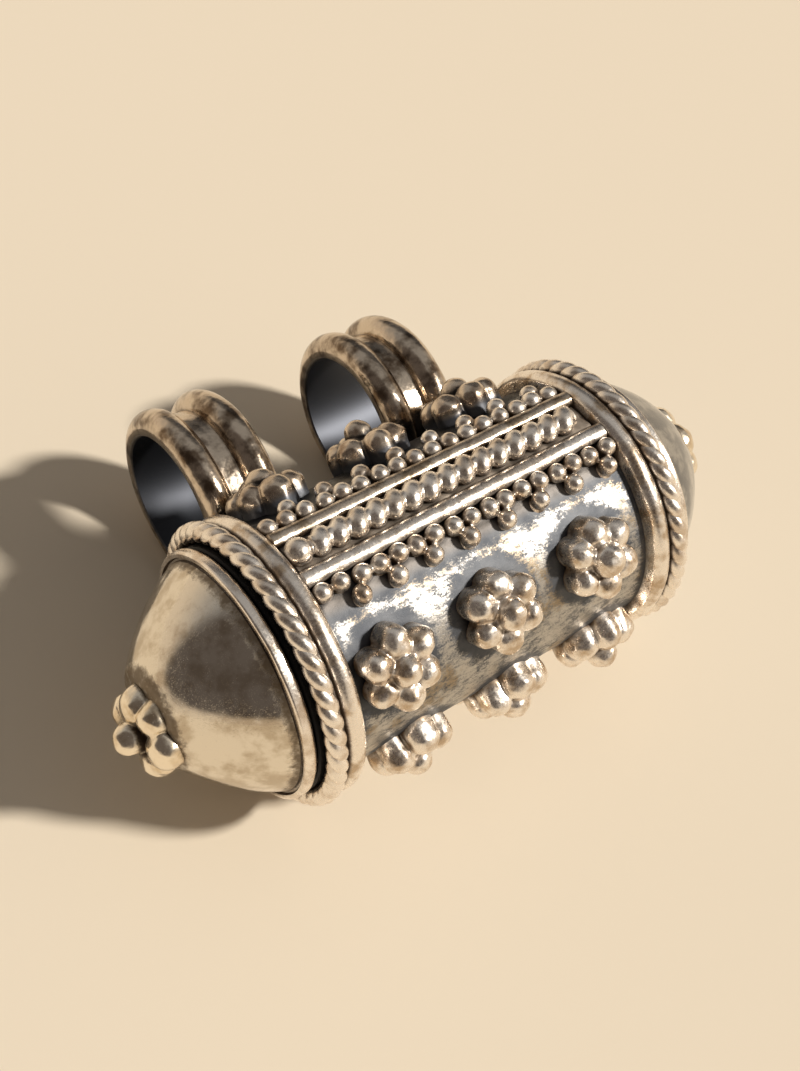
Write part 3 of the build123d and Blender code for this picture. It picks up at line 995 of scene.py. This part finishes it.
panelSizes = {
    "end": ornament["collarInner"],
    "film": 0.02 * mm,
    "borderWire": 0.9 * mm,
    "borderOffset": 1.55 * mm,
    "borderSeat": 0.05 * mm,
    "borderSpread": 1.22,
    "borderRows": 90,
    "borderSteps": 24,
    "borderDents": (0.04 * mm, 1.4 * mm),
    "bead": 1.46 * mm,
    "beadSpacing": 1.28 * mm,
    "beadSeat": 0.1 * mm,
    "beadShape": (0.90, 1.35, 1.0),
    "beadSwell": 0.05 * mm,
    "beadCore": 0.72,
    "beadLean": -0.6,
    "beadUnevenness": 0.06,
    "beadVoxel": 0.06 * mm,
    "beadSmoothing": 3,
    "endBall": 1.7 * mm,
    "ballSeat": 0.25 * mm,
    "granule": 1.28 * mm,
    "granuleUnevenness": 0.11,
    "granuleVoxel": 0.065 * mm,
    "granuleSmoothing": 4,
    "granuleSpacing": 1.3 * mm,
    "granuleSeat": 0.15 * mm,
    "inner": 2.6 * mm,
    "outer": 3.6 * mm,
}


def borderWire(panel, edge, angle):
    s = panelSizes
    r = s["borderWire"] / 2
    bevel = r / 4
    reach = s["end"] - bevel
    skin = [(-reach + 2 * reach * k / s["borderRows"], r) for k in range(s["borderRows"] + 1)]
    outline = [(-s["end"], 0.0), (-s["end"], r - bevel), *skin, (s["end"], r - bevel), (s["end"], 0.0)]
    lifted = around(0, angle) @ Matrix.Translation((0, 0, tubeRadius + s["film"] + r - s["borderSeat"]))
    place = lifted @ Matrix.Diagonal((1, s["borderSpread"], 1, 1))
    piece = latheX(f"{panel}PanelWire{edge.title()}", outline, s["borderSteps"], place,
                   wobble=handWork(*s["borderDents"]))
    material = upperWireFinish if edge == "upper" else panelFinish
    finishPiece(piece, "case", [f"{panel}_panel_wire_{edge}"], material)


granuleFoot = {"top": 0.6, "bottom": 1.55, "depth": 1.3, "sunk": -1.6}  # solder, in granule radii


def granuleTree():
    t = NodeTree("granuleRow", ["Tube Radius", "Seat", "Granule Radius", "Spacing", "Inner Angle",
                                "Outer Angle", "Unevenness"], ["Count", "Seed"])
    ball = t.node("GeometryNodeMeshUVSphere",
                  {"Segments": 24, "Rings": 14, "Radius": t.given("Granule Radius")})
    footSize = {key: t.times(t.given("Granule Radius"), share)
                for key, share in granuleFoot.items()}
    foot = t.node("GeometryNodeMeshCone", {"Vertices": 24, "Radius Top": footSize["top"],
                                           "Radius Bottom": footSize["bottom"], "Depth": footSize["depth"]})
    footPlaced = t.node("GeometryNodeTransform",
                        {"Geometry": foot.outputs[0], "Translation": t.vector(0.0, 0.0, footSize["sunk"])})
    granule = t.join([ball.outputs[0], footPlaced.outputs[0]])
    halfLength = t.times(t.minus(t.given("Count"), 1.0), 0.5)
    last = t.times(halfLength, t.given("Spacing"))
    half = t.math("FLOOR", t.math("DIVIDE", t.given("Count"), 2.0))
    above = t.plus(t.given("Tube Radius"), t.given("Granule Radius"))
    height = t.minus(above, t.given("Seat"))
    slip = t.times(t.given("Unevenness"), t.given("Granule Radius"))
    back = t.times(slip, -1.0)
    least = t.minus(1.0, t.given("Unevenness"))
    wholeRow, pairs = ("Inner Angle", t.given("Count"), 1.0, 0.0), ("Outer Angle", half, 2.0, 0.5)
    lines = []
    for angle, count, step, lead in (wholeRow, pairs):
        line = t.node("GeometryNodeMeshLine", {"Count": count})
        index = t.node("GeometryNodeInputIndex").outputs[0]
        along = t.plus(t.times(index, step), lead)
        x = t.minus(last, t.times(along, t.given("Spacing")))
        y = t.times(height, t.math("COSINE", t.given(angle)))
        z = t.times(height, t.math("SINE", t.given(angle)))
        drift = t.node("FunctionNodeRandomValue", {"Seed": t.given("Seed")}, data_type="FLOAT_VECTOR")
        t.set(drift.inputs[0], t.vector(back, back, back))
        t.set(drift.inputs[1], t.vector(slip, slip, slip))
        spots = t.node("GeometryNodeSetPosition", {"Geometry": line.outputs[0], "Position": t.vector(x, y, z),
                                                   "Offset": drift.outputs[0]})
        sizeSeed = t.plus(t.given("Seed"), seeds["granuleSize"])
        size = t.node("FunctionNodeRandomValue", {"Seed": sizeSeed}, data_type="FLOAT_VECTOR")
        t.set(size.inputs[0], t.vector(least, least, least))
        t.set(size.inputs[1], (1.0, 1.0, 1.0))
        outward = t.vector(t.minus(t.given(angle), math.pi / 2), 0.0, 0.0)
        planted = t.node("GeometryNodeInstanceOnPoints",
                         {"Points": spots.outputs[0], "Instance": granule, "Rotation": outward,
                          "Scale": size.outputs[0]})
        lines.append(planted.outputs[0])
    t.close(t.join(lines))
    return t


granuleRow = granuleTree()


def granules(panel, edge, angle, way, seed):
    s = panelSizes
    count = int((2 * s["end"] - s["granule"]) // s["granuleSpacing"]) + 1
    values = {"Tube Radius": tubeRadius + s["film"], "Seat": s["granuleSeat"],
              "Granule Radius": s["granule"] / 2, "Count": count, "Spacing": s["granuleSpacing"],
              "Unevenness": s["granuleUnevenness"], "Seed": seed, "Material": granuleFinish,
              "Inner Angle": math.radians(angle + way * arcAngle(s["inner"])),
              "Outer Angle": math.radians(angle + way * arcAngle(s["outer"]))}
    melted = fused(s["granuleVoxel"], s["granuleSmoothing"])
    piece = grow(f"{panel}Granules{edge.title()}", granuleRow, values, tubePlace, melted)
    keepOutOfBore(piece)
    finishPiece(piece, "case", [f"{panel}_granules_{edge}"], granuleFinish)


def beadTree():
    t = NodeTree("beadedWire", ["Bead Radius", "Core", "Spacing", "Start", "Lean", "Unevenness",
                                "Ball Radius"], ["Count", "Seed"], ["Shape", "Ball Place"])
    ball = t.node("GeometryNodeMeshUVSphere", {**ballMesh, "Radius": t.given("Bead Radius")})
    bead = t.node("GeometryNodeTransform", {"Geometry": ball.outputs[0], "Scale": t.given("Shape")})
    line = t.node("GeometryNodeMeshLine", {"Count": t.given("Count")})
    index = t.node("GeometryNodeInputIndex").outputs[0]
    x = t.plus(t.given("Start"), t.times(t.plus(index, 0.5), t.given("Spacing")))
    spots = t.node("GeometryNodeSetPosition",
                   {"Geometry": line.outputs[0], "Position": t.vector(x, 0.0, 0.0)})
    turn = t.node("FunctionNodeRandomValue", {"Seed": t.given("Seed")}, data_type="FLOAT")
    t.set(turn.inputs[2], t.minus(t.given("Lean"), t.given("Unevenness")))
    t.set(turn.inputs[3], t.plus(t.given("Lean"), t.given("Unevenness")))
    sizeSeed = t.plus(t.given("Seed"), seeds["beadSize"])
    size = t.node("FunctionNodeRandomValue", {"Seed": sizeSeed}, data_type="FLOAT")
    t.set(size.inputs[2], t.minus(1.0, t.given("Unevenness")))
    t.set(size.inputs[3], 1.0)
    placed = t.node("GeometryNodeInstanceOnPoints",
                    {"Points": spots.outputs[0], "Instance": bead.outputs[0],
                     "Rotation": t.vector(0.0, 0.0, turn.outputs[1]), "Scale": size.outputs[1]})
    length = t.times(t.given("Count"), t.given("Spacing"))
    core = t.node("GeometryNodeMeshCylinder",
                  {"Vertices": 32, "Radius": t.times(t.given("Bead Radius"), t.given("Core")),
                   "Depth": length})
    middle = t.plus(t.given("Start"), t.times(length, 0.5))
    coreLaid = t.node("GeometryNodeTransform",
                      {"Geometry": core.outputs[0], "Translation": t.vector(middle, 0.0, 0.0),
                       "Rotation": (0.0, math.pi / 2, 0.0)})
    endBall = t.node("GeometryNodeMeshUVSphere", {**ballMesh, "Radius": t.given("Ball Radius")})
    endPlaced = t.node("GeometryNodeTransform",
                       {"Geometry": endBall.outputs[0], "Translation": t.given("Ball Place")})
    t.close(t.join([placed.outputs[0], coreLaid.outputs[0], endPlaced.outputs[0]]))
    return t


beadedWire = beadTree()


def panelBeads(panel, angle, seed):
    s = panelSizes
    start = -s["end"] + s["endBall"] + s["film"]
    count = int((s["end"] - start) // s["beadSpacing"])
    height = tubeRadius + s["film"] + s["bead"] / 2 - s["beadSeat"]
    ballHeight = tubeRadius + s["film"] + s["endBall"] / 2 - s["ballSeat"]
    values = {"Bead Radius": s["bead"] / 2 + s["beadSwell"], "Shape": s["beadShape"], "Core": s["beadCore"],
              "Spacing": s["beadSpacing"], "Count": count, "Start": start, "Lean": s["beadLean"],
              "Unevenness": s["beadUnevenness"], "Ball Radius": s["endBall"] / 2,
              "Ball Place": (-s["end"] + s["endBall"] / 2, 0.0, ballHeight - height),
              "Seed": seed, "Material": panelFinish}
    place = around(0, angle) @ Matrix.Translation((0, 0, height))
    piece = grow(f"{panel}PanelBeads", beadedWire, values, place, fused(s["beadVoxel"], s["beadSmoothing"]))
    finishPiece(piece, "case", [f"{panel}_panel_beads"], panelFinish)


for panel, (angle, upper) in panels.items():
    panelBeads(panel, angle, seeds["beads"])
    for edge, way in (("upper", upper), ("lower", -upper)):
        borderWire(panel, edge, angle + way * arcAngle(panelSizes["borderOffset"]))
        granules(panel, edge, angle, way, seeds["granules"] + way)
print("panels made")

scrollSizes = {"radius": 3.55 * mm, "sheet": 0.12 * mm, "step": 0.7 * mm, "slack": 0.05 * mm, "turns": 3,
               "steps": 180, "rows": 24}


def prayerScroll():
    s = scrollSizes
    low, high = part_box("prayer_scroll")
    middle = Vector(((low.x + high.x) / 2, axisCentre.y, low.z + s["radius"] + s["slack"]))
    half = (high.x - low.x) / 2 - s["slack"]
    verts, faces = [], []
    for inset in (0.0, s["sheet"]):
        for k in range(s["steps"] + 1):
            turn = 2 * math.pi * s["turns"] * k / s["steps"]
            r = s["radius"] - inset - s["step"] * turn / (2 * math.pi)
            for j in range(s["rows"] + 1):
                x = -half + 2 * half * j / s["rows"]
                verts.append(middle + Vector((x, r * math.sin(turn), r * math.cos(turn))))
    wide = s["rows"] + 1
    sheet = (s["steps"] + 1) * wide
    for k in range(s["steps"]):
        for j in range(s["rows"]):
            a = k * wide + j
            faces.append((a, a + wide, a + wide + 1, a + 1))
            faces.append((sheet + a, sheet + a + 1, sheet + a + wide + 1, sheet + a + wide))
        for a in (k * wide, k * wide + s["rows"]):
            faces.append((a, sheet + a, sheet + a + wide, a + wide))
    for k in (0, s["steps"]):
        for j in range(s["rows"]):
            a = k * wide + j
            faces.append((a, a + 1, sheet + a + 1, sheet + a))
    piece = meshObject("prayerScroll", verts, faces)
    finishPiece(piece, "scroll", ["prayer_scroll"], paperFinish)


prayerScroll()
print("slip made")

stageLook = {"floor": (0.76, 0.67, 0.54), "floorRough": 0.95, "floorGloss": 0.1, "floorSize": 3.0}


def paleFloor():
    half = stageLook["floorSize"] / 2
    corners = [(-half, -half, 0), (half, -half, 0), (half, half, 0), (-half, half, 0)]
    piece = meshObject("paleFloor", corners, [(0, 1, 2, 3)])
    f = Finish("paleFloor")
    f.bsdf.inputs["Base Color"].default_value = (*stageLook["floor"], 1.0)
    f.bsdf.inputs["Roughness"].default_value = stageLook["floorRough"]
    f.bsdf.inputs["Specular IOR Level"].default_value = stageLook["floorGloss"]
    piece.data.materials.append(f.material)


paleFloor()

# the camera, set in the tube's own frame
viewing = {"place": (-43.52 * mm, -51.33 * mm, 70.65 * mm), "right": (0.8005, -0.5985, 0.0328),
           "up": (0.4057, 0.5814, 0.7053), "lens": 52.6, "sensor": 36.0, "near": 0.005, "far": 10.0}
cameraData = bpy.data.cameras.new("photoCamera")
cameraData.sensor_fit = "VERTICAL"
cameraData.sensor_height = viewing["sensor"]
cameraData.lens = viewing["lens"]
cameraData.clip_start = viewing["near"]
cameraData.clip_end = viewing["far"]
camera = intoScene("photoCamera", cameraData)
right = Vector(viewing["right"]).normalized()
up = Vector(viewing["up"])
up = (up - right * up.dot(right)).normalized()
facing = Matrix((right, up, right.cross(up))).transposed().to_4x4()
camera.matrix_world = tubePlace @ Matrix.Translation(viewing["place"]) @ facing
bpy.context.scene.camera = camera

# parallel light, so that the floor is as bright far off as by the object
sun = {"way": (0.56, -0.48, 0.68), "wideDeg": 5.7, "power": 3.95, "colour": (1.0, 0.94, 0.85)}
sunData = bpy.data.lights.new("sunLamp", "SUN")
sunData.angle = math.radians(sun["wideDeg"])
sunData.energy = sun["power"]
sunData.color = sun["colour"]
sunLamp = intoScene("sunLamp", sunData)
sunWay = Vector(sun["way"]).normalized()
sunLamp.rotation_mode = "QUATERNION"
sunLamp.rotation_quaternion = sunWay.to_track_quat("Z", "Y")

# a warm room, dimmer overhead, with a dark screen beside the viewer and a dim one behind the object
roomLook = {
    "overhead": (0.32, 0.308, 0.295),
    "horizon": (0.74, 0.61, 0.46),
    "high": 0.70,
    "low": 0.05,
    "screenFoot": (0.05, 0.16),
    "screens": (  # colour, the way towards it, and the cosines between which it sets in
        ((0.110, 0.092, 0.081), (-0.80, -0.34, 0.50), 0.42, 0.66),
        ((0.085, 0.083, 0.085), (0.66, 0.70, 0.15), 0.74, 0.92),
    ),
}


def roomLight():
    world = bpy.data.worlds.new("room")
    world.use_nodes = True
    room = ShaderNodes(world.node_tree)
    way = room.node("ShaderNodeTexCoord").outputs["Generated"]
    level = room.node("ShaderNodeSeparateXYZ", {"Vector": way}).outputs["Z"]
    nearFloor = room.span(level, roomLook["high"], roomLook["low"])
    tone = room.blend(nearFloor, roomLook["overhead"], roomLook["horizon"])
    raised = room.span(level, *roomLook["screenFoot"])  # the screens stand clear of the floor line
    for colour, towards, low, high in roomLook["screens"]:
        facing = room.node("ShaderNodeVectorMath", {0: way, 1: Vector(towards).normalized()},
                           operation="DOT_PRODUCT")
        cover = room.times(room.span(facing.outputs["Value"], low, high), raised)
        tone = room.blend(cover, tone, colour)
    room.set(room.tree.nodes["Background"].inputs["Color"], tone)
    return world


bpy.context.scene.world = roomLight()
bpy.context.scene.view_settings.view_transform = "Standard"
print("stage and lamps set")
